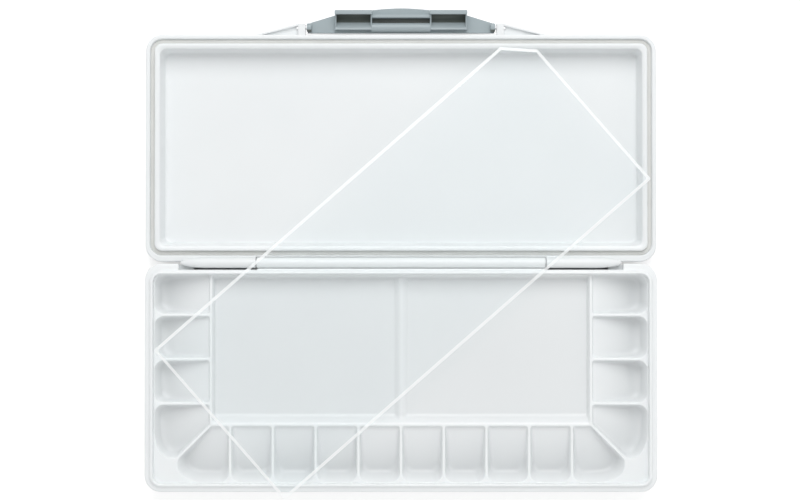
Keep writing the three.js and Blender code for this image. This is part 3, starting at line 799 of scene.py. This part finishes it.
def side_wells():
    """The three straight wells on the left."""
    inner_x = -(MIXING_HALF_WIDTH + RIB_WIDTH)
    half_rib = RIB_WIDTH / 2
    pitch = (LAST_SIDE_RIB + half_rib - WELL_MOUTH_REAR + REAR_WELL_SHORTFALL) / SIDE_RIBS
    ribs = [-(LAST_SIDE_RIB - i * pitch) for i in reversed(range(SIDE_RIBS))]
    tops = [-WELL_MOUTH_REAR] + [y - half_rib for y in ribs[:-1]]
    radii = [WELL_OUTER_RADIUS, WELL_INNER_RADIUS, WELL_INNER_RADIUS, WELL_OUTER_RADIUS]
    kinds = ["rib", "side_inner", "rib", "side_outer"]
    return [
        (rectangle(-WELLS_HALF_WIDTH, inner_x, y + half_rib, top), radii, kinds, Vector((-1, 0)))
        for y, top in zip(ribs, tops)
    ]


def front_wells():
    """The straight wells along the front, left of the middle and right of it."""
    inner_y = -(MIXING_FRONT + RIB_WIDTH)
    pitch = LAST_FRONT_RIB / FRONT_RIBS_EACH_SIDE
    radii = [WELL_OUTER_RADIUS, WELL_OUTER_RADIUS, WELL_INNER_RADIUS, WELL_INNER_RADIUS]
    kinds = ["front_outer", "rib", "front_inner", "rib"]
    wells = []
    for i in range(-FRONT_RIBS_EACH_SIDE, FRONT_RIBS_EACH_SIDE):
        start = i * pitch + RIB_WIDTH / 2
        corners = rectangle(start, start + pitch - RIB_WIDTH, -WELLS_FRONT, inner_y)
        wells.append((corners, radii, kinds, Vector((0, -1))))
    return wells


def corner_wells():
    """The two wells of the left front corner, split by a slanted rib.

    Both are written in one frame: a runs out from the mixing corner to the wall, b along the wall.
    """
    half_rib = RIB_WIDTH / 2
    slant_half = half_rib * math.sqrt(2)
    out_x = WELLS_HALF_WIDTH - MIXING_HALF_WIDTH
    out_y = WELLS_FRONT - MIXING_FRONT
    radii = [
        WELL_OUTER_RADIUS, *CORNER_ARC_RADII, CORNER_WELL_TIP_RADIUS, WELL_INNER_RADIUS, WELL_INNER_RADIUS,
    ]

    def shape(wall, near):
        """Corners of a well that starts at near; the two next to the far end of its wall make an arc."""
        return [
            (wall, near), (wall, CORNER_WELL_END - CORNER_ARC_ALONG),
            (wall - CORNER_ARC_ACROSS, CORNER_WELL_END), (CORNER_WELL_END + slant_half, CORNER_WELL_END),
            (RIB_WIDTH, RIB_WIDTH - slant_half), (RIB_WIDTH, near),
        ]

    def from_mixing_corner(out, down):
        return Vector((-MIXING_HALF_WIDTH - out, -MIXING_FRONT - down))

    side = [from_mixing_corner(a, b) for a, b in shape(out_x, half_rib - SIDE_RIB_SETBACK)]
    front = [from_mixing_corner(b, a) for a, b in shape(out_y, half_rib - FRONT_RIB_SETBACK)]
    side_kinds = ["side_outer", "side_outer", "side_outer", "rib", "side_inner", "rib"]
    front_kinds = ["front_inner", "rib", "front_outer", "front_outer", "front_outer", "rib"]
    return [
        (side, radii, side_kinds, Vector((-1, -CORNER_RAMP_TURN)).normalized()),
        (front[::-1], radii[::-1], front_kinds, Vector((-CORNER_RAMP_TURN, -1)).normalized()),
    ]


def all_wells():
    left = side_wells() + corner_wells()
    return left + front_wells() + [mirrored_well(*well) for well in left]


# Mixing area

def smooth_most(a, b, blend):
    """The larger of a and b, with the change from one to the other smoothed."""
    return np.maximum(a, b) + np.maximum(blend - np.abs(a - b), 0) ** 2 / (4 * blend)


def smooth_least(a, b, blend):
    return -smooth_most(-a, -b, blend)


def graded(*stretches):
    """Places from stretches of (start, end, steps) that follow each other."""
    parts = [np.linspace(start, end, steps, endpoint=False) for start, end, steps in stretches]
    return np.append(np.concatenate(parts), stretches[-1][1])


def mixing_heights(x, y):
    """Height of the mixing area's floor, slopes and centre rib at each grid point."""
    def wall(distance, slope):
        return MIXING_DEPTH * (1 - distance / MIXING_SLOPES[slope])

    sides = wall(MIXING_HALF_WIDTH - np.abs(x), "side")
    ends = np.maximum(wall(y + MIXING_FRONT, "front"), wall(-MIXING_REAR - y, "rear"))
    walls = smooth_most(sides, ends, 2 * MIXING_FOOT_BLEND)
    rib = RIB_RISE * np.cos(np.clip(x / RIB_FOOT, -1, 1) * math.pi / 2) ** RIB_SHARPNESS
    rise = smooth_most(np.maximum(rib, 0), walls, MIXING_FOOT_BLEND)
    return MIXING_FLOOR + smooth_least(rise, MIXING_DEPTH + HAIR, MIXING_LIP_BLEND)


def mixing_grid():
    """Places along X and Y at which the mixing area is worked out, close together where it bends."""
    lip = {key: MIXING_LIP_BLEND * slope / MIXING_DEPTH for key, slope in MIXING_SLOPES.items()}
    edge = MIXING_HALF_WIDTH + lip["side"]
    side_foot = MIXING_HALF_WIDTH - 2 * MIXING_SLOPES["side"]
    rib = RIB_FOOT + RIB_BLEND
    x = graded(
        (-edge, -side_foot, GRID_STEPS["side"]), (-side_foot, -rib, GRID_STEPS["half_width"]),
        (-rib, rib, GRID_STEPS["rib"]),
        (rib, side_foot, GRID_STEPS["half_width"]), (side_foot, edge, GRID_STEPS["side"]),
    )
    front = -MIXING_FRONT - lip["front"]
    rear = -MIXING_REAR + lip["rear"]
    front_foot = front + 2 * MIXING_SLOPES["front"]
    rear_foot = rear - 3 * MIXING_SLOPES["rear"]
    y = graded(
        (front, front_foot, GRID_STEPS["front"]), (front_foot, rear_foot, GRID_STEPS["depth"]),
        (rear_foot, rear, GRID_STEPS["rear"]),
    )
    return x, y


def grid_border(columns, rows):
    """Numbers of a grid's outer points, once round it."""
    last = rows * columns - 1
    return [
        *range(columns), *range(2 * columns - 1, last + 1, columns),
        *range(last - 1, last - columns, -1), *range(last + 1 - 2 * columns, 0, -columns),
    ]


def mixing_cutter():
    """Both mixing areas with the low rib between them, as one tool to cut from the base."""
    x, y = mixing_grid()
    columns, rows = len(x), len(y)
    grid_x, grid_y = np.meshgrid(x, y)
    heights = mixing_heights(grid_x, grid_y)
    vertices = np.stack((grid_x.ravel(), grid_y.ravel(), heights.ravel()), axis=1)
    faces = []
    for row in range(rows - 1):
        for column in range(columns - 1):
            a = row * columns + column
            faces.append((a, a + columns, a + columns + 1, a + 1))
    border = grid_border(columns, rows)
    top = vertices[border]
    top[:, 2] = LAND_TOP + TALL_OVERRUN
    total = len(vertices)
    count = len(border)
    for i in range(count):
        j = (i + 1) % count
        faces.append((border[i], border[j], total + j, total + i))
    faces.append(tuple(range(total, total + count)))
    return from_faces(np.concatenate((vertices, top)), faces)


def under_pocket():
    """Hollow underside below the mixing area and the shallow ends of the wells."""
    top = rectangle(
        -MIXING_HALF_WIDTH + MIXING_SLOPES["side"], MIXING_HALF_WIDTH - MIXING_SLOPES["side"],
        -MIXING_FRONT + MIXING_SLOPES["front"], -MIXING_REAR - MIXING_SLOPES["rear"],
    )
    mouth = rectangle(
        -MIXING_HALF_WIDTH - POCKET_SPREAD, MIXING_HALF_WIDTH + POCKET_SPREAD,
        -MIXING_FRONT - POCKET_SPREAD, -REAR_EDGE - POCKET_REAR_WALL,
    )

    def level(corners, height):
        return ring(rounded_outline(corners, [CORNER_RADIUS] * 4, [WELL_CORNER_STEPS] * 4), height)

    roof = level(top, POCKET_ROOF)
    mouth_ring = level(mouth, 0)
    flare = level(inset_corners(mouth, [-FOOT_ROUND] * 4), 0)
    inner_roof = level(inset_corners(top, [FOOT_ROUND] * 4), POCKET_ROOF)
    below = flare - np.array((0, 0, OVERRUN))
    rings = [below] + bend(flare, mouth_ring, toward(mouth_ring, roof, FOOT_ROUND))
    return loft(rings + bend(toward(roof, mouth_ring, FOOT_ROUND), roof, inner_roof))


# Base

def base_recess():
    """Room for a lid knuckle in the base's rear rim, on the right-hand side."""
    low = AXIS_HEIGHT - BARREL_RADIUS - RECESS_GAP
    depth = BARREL_RADIUS + BASE_RECESS_GAP
    end = KNUCKLE_END + RECESS_END_GAP
    return block(BARREL_HALF - SUNK_JOIN, end, -depth, OVERRUN, low, BEAD_TOP + OVERRUN)


def knuckle_slot():
    """The deep slot in front of a knuckle that shows as a dark line, on the right-hand side."""
    edge = BARREL_RADIUS + BASE_RECESS_GAP
    end = KNUCKLE_END - KNUCKLE_TIP / 2
    return block(BARREL_HALF, end, -edge, -edge + SLOT_WIDTH, SLOT_FLOOR, AXIS_HEIGHT)


def barrel_groove():
    """The thin dark line along the barrel, where it meets the base's rim."""
    far = -BARREL_RADIUS + FINE_ROUND
    return block(-BARREL_HALF, BARREL_HALF, far - SEAM_WIDTH, far, AXIS_HEIGHT - SEAM_DEPTH, BEAD_TOP)


def pin_hole(node, start, end):
    """A hole along X for a pin, as wide as the pin and its clearance."""
    low, high = (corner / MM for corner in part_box(node))
    radius = (high.z - low.z) / 2 + PIN_CLEARANCE
    middle = (low + high) / 2
    return rod(radius, start, end, middle.y - hinge_at.y, middle.z, round_by=0)


def base_tray():
    tray = half_shell(-1, base_section())
    cut(tray, [mixing_cutter(), under_pocket()] + [well_cutter(*well) for well in all_wells()])
    cut(tray, both_sides([base_recess(), knuckle_slot()]))
    join(tray, [rod(BARREL_RADIUS, -BARREL_HALF, BARREL_HALF, 0, AXIS_HEIGHT)])
    cut(tray, [barrel_groove()])
    hole = pin_hole("hinge_pin_right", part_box("hinge_pin_right")[0].x / MM - PIECE_GAP, KNUCKLE_START)
    cut(tray, both_sides([hole]))
    return placed(shaded(tray), "base_tray", "base", [BASE_WHITE_WITH_PAINTED_SHADE])


# Lid

def lid_knuckle():
    """A hinge knuckle with a tip shaped like the end of a pen, on the right-hand side."""
    tip_start = KNUCKLE_END - KNUCKLE_TIP
    profile = [(KNUCKLE_START, BARREL_RADIUS - FINE_ROUND), (KNUCKLE_START + FINE_ROUND, BARREL_RADIUS)]
    for turn in np.linspace(0, math.pi / 2, KNUCKLE_TIP_STEPS, endpoint=False):
        profile.append((tip_start + KNUCKLE_TIP * math.sin(turn), BARREL_RADIUS * math.cos(turn)))
    return lathe(profile, 0, AXIS_HEIGHT)


def knuckle_web():
    """The web that joins a knuckle to the lid's rear wall, on the right-hand side."""
    low = AXIS_HEIGHT - BARREL_RADIUS
    end = KNUCKLE_END - BARREL_RADIUS / 2
    high = AXIS_HEIGHT - WEB_DROP
    return block(KNUCKLE_START, end, REAR_EDGE, REAR_EDGE + WEB_THICKNESS, low, high, FINE_ROUND)


def latch_post():
    """A latch post with its slanted strut and the thin floor between them, on the right-hand side."""
    inner_y = FRONT_EDGE - SUNK_JOIN
    outer_y = FRONT_EDGE + LATCH_OUT + POST_REACH
    low = latch_at.z - POST_DROP
    post = block(POST_START, POST_END, inner_y, outer_y, low, LID_RIM_TOP - PIECE_GAP, EDGE_ROUND)
    web_low = LID_RIM_TOP - LID_FLANGE + RIM_ROUND
    start = POST_END - SUNK_JOIN
    web = prism(
        [(start, inner_y), (STRUT_END, inner_y), (STRUT_END, FRONT_EDGE), (start, outer_y)],
        web_low, web_low + STRUT_THICKNESS, FINE_ROUND,
    )
    strut = prism(
        [
            (start, outer_y - STRUT_THICKNESS), (STRUT_END - 2 * STRUT_THICKNESS, inner_y),
            (STRUT_END, inner_y), (STRUT_END, FRONT_EDGE), (start, outer_y),
        ],
        web_low, LID_RIM_TOP - RIM_ROUND, EDGE_ROUND,
    )
    return [post, web, strut]


def lid_shell():
    lid = half_shell(1, lid_section())
    recess = block(
        -KNUCKLE_START, KNUCKLE_START, -OVERRUN, BARREL_RADIUS + RECESS_GAP,
        AXIS_HEIGHT - BARREL_RADIUS - RECESS_GAP, AXIS_HEIGHT + BARREL_RADIUS,
    )
    cut(lid, [recess])
    join(lid, both_sides([lid_knuckle(), knuckle_web(), *latch_post()]))
    hinge_hole = pin_hole("hinge_pin_right", BARREL_HALF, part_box("hinge_pin_right")[1].x / MM + PIECE_GAP)
    latch_hole = pin_hole("latch_pin_right", POST_START - OVERRUN, POST_END + OVERRUN)
    cut(lid, both_sides([hinge_hole, latch_hole]))
    return placed(shaded(lid), "lid_shell", "lid", [LID_WHITE])


def lid_gasket():
    """The seal, which fills the groove from wall to wall, with a slightly domed top."""
    inner = GROOVE_END - SEAL_SQUEEZE
    low = LID_RIM_TOP - GROOVE_DEPTH + PIECE_GAP
    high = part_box("lid_gasket")[1].z / MM
    dome = (high - low) * SEAL_DOME_SHARE
    lean = GROOVE_LEAN / GROOVE_DEPTH
    outer = RIM_WIDTH + SEAL_SQUEEZE + lean * (LID_RIM_TOP - high + dome)
    section = [(outer + lean * (high - dome - low), low), (outer, high - dome)]
    for share in np.linspace(0, 1, DOME_STEPS + 1)[1:-1]:
        height = high - dome * (2 * share - 1) ** 2
        section.append((outer + (inner - outer) * share, height))
    section += [(inner, high - dome), (inner, low)]
    rings = [half_ring(1, inset, inset + HINGE_SIDE_EXTRA, z) for inset, z in section]
    return placed(shaded(skin(rings, closed=True)), "lid_gasket", "lid", [SEAL])


# Latch

def smooth_through(points):
    """A smooth line through the points, with its ends going straight on."""
    count = len(points)
    line = []
    for i in range(count - 1):
        before = points[i - 1] if i else points[i]
        after = points[i + 2] if i + 2 < count else points[i + 1]
        start, end = points[i], points[i + 1]
        lean_in, lean_out = (end - before) / 2, (after - start) / 2
        for t in np.linspace(0, 1, ARCH_STEPS, endpoint=False):
            line.append(
                start * (2 * t ** 3 - 3 * t ** 2 + 1) + lean_in * (t ** 3 - 2 * t ** 2 + t)
                + end * (3 * t ** 2 - 2 * t ** 3) + lean_out * (t ** 3 - t ** 2)
            )
    return line + [points[-1]]


def flap_outline():
    """The flap seen from above, in the latch frame: straight sides and an arched outer edge."""
    right = [Vector((FLAP_HALF_WIDTH, u)) for u in (-FLAP_NEAR, FLAP_SHOULDER_SHARE * FLAP_REACH)]
    arch = [Vector((x * FLAP_HALF_WIDTH, u * FLAP_REACH)) for x, u in FLAP_ARCH_SHARES]
    return right + smooth_through(arch) + mirrored(right)


def hook_section():
    """The hook as (u, w) points: it reaches over the base's flange when latched."""
    foot = -(FLAP_DROP + FLAP_THICKNESS / 2)
    heel_front = HEEL_THICKNESS - HEEL_BACK
    undercut = HOOK_MOUTH + HOOK_UNDERCUT
    outer = HOOK_MOUTH + HOOK_THICKNESS
    heel = [(-HEEL_BACK, HEEL_RISE)]
    lip = [(outer, HOOK_TIP), (HOOK_MOUTH, HOOK_TIP), (HOOK_MOUTH, HOOK_TIP - HOOK_LIP)]
    run, rise = heel_front - HOOK_MOUTH, HEEL_RISE - HOLLOW_BOTTOM
    slope = [(HOOK_MOUTH + run * share, HOLLOW_BOTTOM + rise * share) for share in HOLLOW_SLOPE_SHARES]
    hollow = [(undercut, HEEL_RISE), (undercut, 0)] + slope
    return [(-HEEL_BACK, foot), (outer, foot)] + lip + hollow + heel


def hook_end_wall():
    """The low wall at an end of the hook's hollow, as (u, w) points, clear of the base's flange."""
    foot = -(FLAP_DROP + FLAP_THICKNESS / 2)
    outer = HOOK_MOUTH + HOOK_THICKNESS / 2
    back = -HEEL_BACK / 2
    return [(back, foot), (outer, foot), (outer, HOOK_WALL_RISE), (back, HEEL_RISE - FINE_ROUND)]


def gets_painted_shade(across, out, up):
    """Whether a place on the latch gets the painted shade: it lies in a hook's hollow, the middle trench or
    the gap at a boss.
    """
    in_hook = HOOK_START + HOOK_WALL < across < HOOK_END - HOOK_WALL and up < HEEL_RISE
    in_hollow = HOLLOW_SHADE_START < out < HOOK_MOUTH + HOOK_UNDERCUT + FINE_ROUND
    in_middle = across < HOOK_START and up < 0
    in_trench = MIDDLE_RADIUS * TRENCH_SHADE_SHARE < out < LEDGE_OUT + FINE_ROUND
    at_boss = across > FLAP_HALF_WIDTH - BOSS_LENGTH and out < -BOSS_RADIUS / 2
    above_underside = up > FINE_ROUND - FLAP_DROP - FLAP_THICKNESS
    return above_underside and (in_hook and in_hollow or in_middle and in_trench or at_boss)


def latch_flap():
    """The whole latch, with a darker grey painted in its hollows as shade."""
    plate_top = -FLAP_DROP
    plate = prism([tuple(p) for p in flap_outline()], plate_top - FLAP_THICKNESS, plate_top, EDGE_ROUND)
    sunk = plate_top - FLAP_THICKNESS / 2
    middle = HOOK_START + SUNK_JOIN
    barrel = rod(MIDDLE_RADIUS, -middle, middle, 0, 0)
    ledge = block(-middle, middle, LEDGE_OUT, LEDGE_OUT + LEDGE_THICKNESS, sunk, LEDGE_RISE, EDGE_ROUND)
    hook = [along_x(prism(hook_section(), 0, HOOK_END - HOOK_START, EDGE_ROUND), HOOK_START)]
    for start in (HOOK_START + FINE_ROUND, HOOK_END - HOOK_WALL - FINE_ROUND):
        hook.append(along_x(prism(hook_end_wall(), 0, HOOK_WALL, FINE_ROUND), start))
    boss_end = FLAP_HALF_WIDTH + BOSS_OVERHANG
    boss = rod(BOSS_RADIUS, boss_end - BOSS_LENGTH, boss_end, 0, 0, EDGE_ROUND)
    trench = block(-middle, middle, 0, LEDGE_OUT, plate_top - TRENCH_DEPTH, OVERRUN)
    cut(plate, [trench])
    join(plate, [barrel, ledge, *both_sides([*hook, boss])])
    plate.data.transform(Matrix.Translation((0, latch_at.y - hinge_at.y, latch_at.z)))
    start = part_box("latch_pin_right")[0].x / MM - PIECE_GAP
    cut(plate, both_sides([pin_hole("latch_pin_right", start, boss_end + OVERRUN)]))
    made = placed(shaded(plate), "latch_flap", "latch", [GREY, PAINTED_SHADE_GREY])
    # Faces in the hollows, the trench and the gap at each boss get the darker grey as painted shade.
    for face in made.data.polygons:
        x, y, z = face.center / MM
        face.material_index = int(gets_painted_shade(abs(x), y - latch_at.y, z - latch_at.z))
    return made


# Pins

def pin(node, body):
    low, high = (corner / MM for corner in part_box(node))
    middle = (low + high) / 2
    made = rod((high.z - low.z) / 2, low.x, high.x, middle.y - hinge_at.y, middle.z)
    return placed(shaded(made), node, body, [STEEL])


# Clear sheet

def sheet_outline(inset):
    x, y = SHEET_LENGTH / 2, SHEET_DEPTH / 2
    cut_corner = [(x, y - SHEET_CORNER_CUT), (x - SHEET_CORNER_CUT, y)]
    corners = [Vector(p) for p in [(-x, -y), (x, -y), *cut_corner, (-x, y)]]
    corners = inset_corners(corners, [inset] * len(corners))
    count = len(corners)
    return rounded_outline(corners, [SHEET_CORNER_RADIUS] * count, [WELL_CORNER_STEPS] * count)


def mixing_sheet():
    """The sheet, with its top edge polished to a wide bevel; the bevel and the side carry a painted
    highlight.
    """
    thickness = sheet_high.z - sheet_low.z
    bevel = [ring(sheet_outline(inset), thickness * share) for inset, share in SHEET_BEVEL]
    foot = ring(sheet_outline(FINE_ROUND), 0)
    sheet = loft([foot, ring(sheet_outline(0), FINE_ROUND)] + bevel)
    turn = Matrix.Rotation(SHEET_ANGLE, 4, "Z")
    sheet.data.transform(Matrix.Translation((*SHEET_CENTRE, sheet_low.z)) @ turn)
    made = placed(shaded(sheet), "mixing_sheet", "sheet", [CLEAR, SHEET_EDGE_HIGHLIGHT])
    # Faces of the side and the bevel get the near-white, faintly glowing edge material as painted
    # highlight.
    for face in made.data.polygons:
        share = (face.center.z - sheet_low.z * MM) / (thickness * MM)
        face.material_index = int(PAINTED_HIGHLIGHT_SHARES[0] < share < PAINTED_HIGHLIGHT_SHARES[1])
    return made


# Stage

# Lengths of the stage are in metres; a lamp has its place, its width and its power in watts
FLOOR_HALF = 6
FLOOR_GAP = 0.0002
FLOOR_GREY = (0.75, 0.75, 0.75, 1)
FLOOR_ROUGHNESS = 0.9

# What the camera sees of floor and sky is brighter than the light that they throw on the palette
FLOOR_GLOW = 0.5
SKY_STRENGTH = 0.495
BACKGROUND_STRENGTH = 1
LAMPS = {
    "key": ((0.05, 0.98, 1.27), 1.1, 13.6),
    "left_fill": ((-1.2, 0, 0.9), 0.9, 0.9),
    "right_fill": ((1.2, 0, 0.9), 0.9, 1.8),
    "front_fill": ((0, -1.2, 0.9), 0.9, 2.4),
}
LENS_MM = 85
CAMERA_HEIGHT = 1.16
CAMERA_FROM_HINGE = -0.0083
CAMERA_LEFT = -0.0006
CAMERA_TILT = math.radians(0.8)


def seen_directly(tree):
    """1 for what the camera sees, also by a mirror or through glass, and 0 for light on surfaces."""
    path = tree.nodes.new("ShaderNodeLightPath").outputs
    either = math_node(tree, "MAXIMUM", path["Is Camera Ray"], path["Is Glossy Ray"])
    return math_node(tree, "MAXIMUM", either, path["Is Transmission Ray"])


def pale_floor():
    corners = rectangle(-FLOOR_HALF, FLOOR_HALF, -FLOOR_HALF, FLOOR_HALF)
    floor = from_faces(ring(corners, -FLOOR_GAP), [(0, 1, 2, 3)], "studio_floor")
    shader = Shader("matt_white_floor", FLOOR_ROUGHNESS)
    shader.set(shader.surface, Base_Color=FLOOR_GREY, Emission_Color=FULL_WHITE)
    glow = math_node(shader.tree, "MULTIPLY", seen_directly(shader.tree), FLOOR_GLOW)
    shader.feed("Emission Strength", glow)
    floor.data.materials.append(shader.material)


def sky():
    world = bpy.data.worlds.new("soft_sky")
    bpy.context.scene.world = world
    world.use_nodes = True
    tree = world.node_tree
    background = tree.nodes["Background"]
    background.inputs["Color"].default_value = FULL_WHITE
    strength = tree.nodes.new("ShaderNodeMapRange")
    strength.inputs["To Min"].default_value = SKY_STRENGTH
    strength.inputs["To Max"].default_value = BACKGROUND_STRENGTH
    tree.links.new(seen_directly(tree), strength.inputs["Value"])
    tree.links.new(strength.outputs["Result"], background.inputs["Strength"])


def soft_box(name, place, size, power):
    """A square lamp that faces the middle of the table."""
    lamp = bpy.data.lights.new(name, "AREA")
    lamp.shape = "SQUARE"
    lamp.size = size
    lamp.energy = power
    made = new_object(name, lamp)
    made.location = place
    made.rotation_euler = (-Vector(place)).to_track_quat("-Z", "Y").to_euler()


def camera():
    """The camera above the palette, upright and almost straight down."""
    lens = bpy.data.cameras.new("camera")
    lens.lens = LENS_MM
    made = new_object("camera", lens)
    made.location = (CAMERA_LEFT, hinge_at.y * MM + CAMERA_FROM_HINGE, CAMERA_HEIGHT)
    made.rotation_euler = (CAMERA_TILT, 0, 0)
    bpy.context.scene.camera = made


camera()
sky()
pale_floor()
for name, (place, size, power) in LAMPS.items():
    soft_box(name, place, size, power)

base_tray()
lid_shell()
lid_gasket()
latch_flap()
for side in ("left", "right"):
    pin(f"hinge_pin_{side}", "base")
    pin(f"latch_pin_{side}", "lid")
mixing_sheet()

bpy.context.scene.view_settings.view_transform = "Standard"
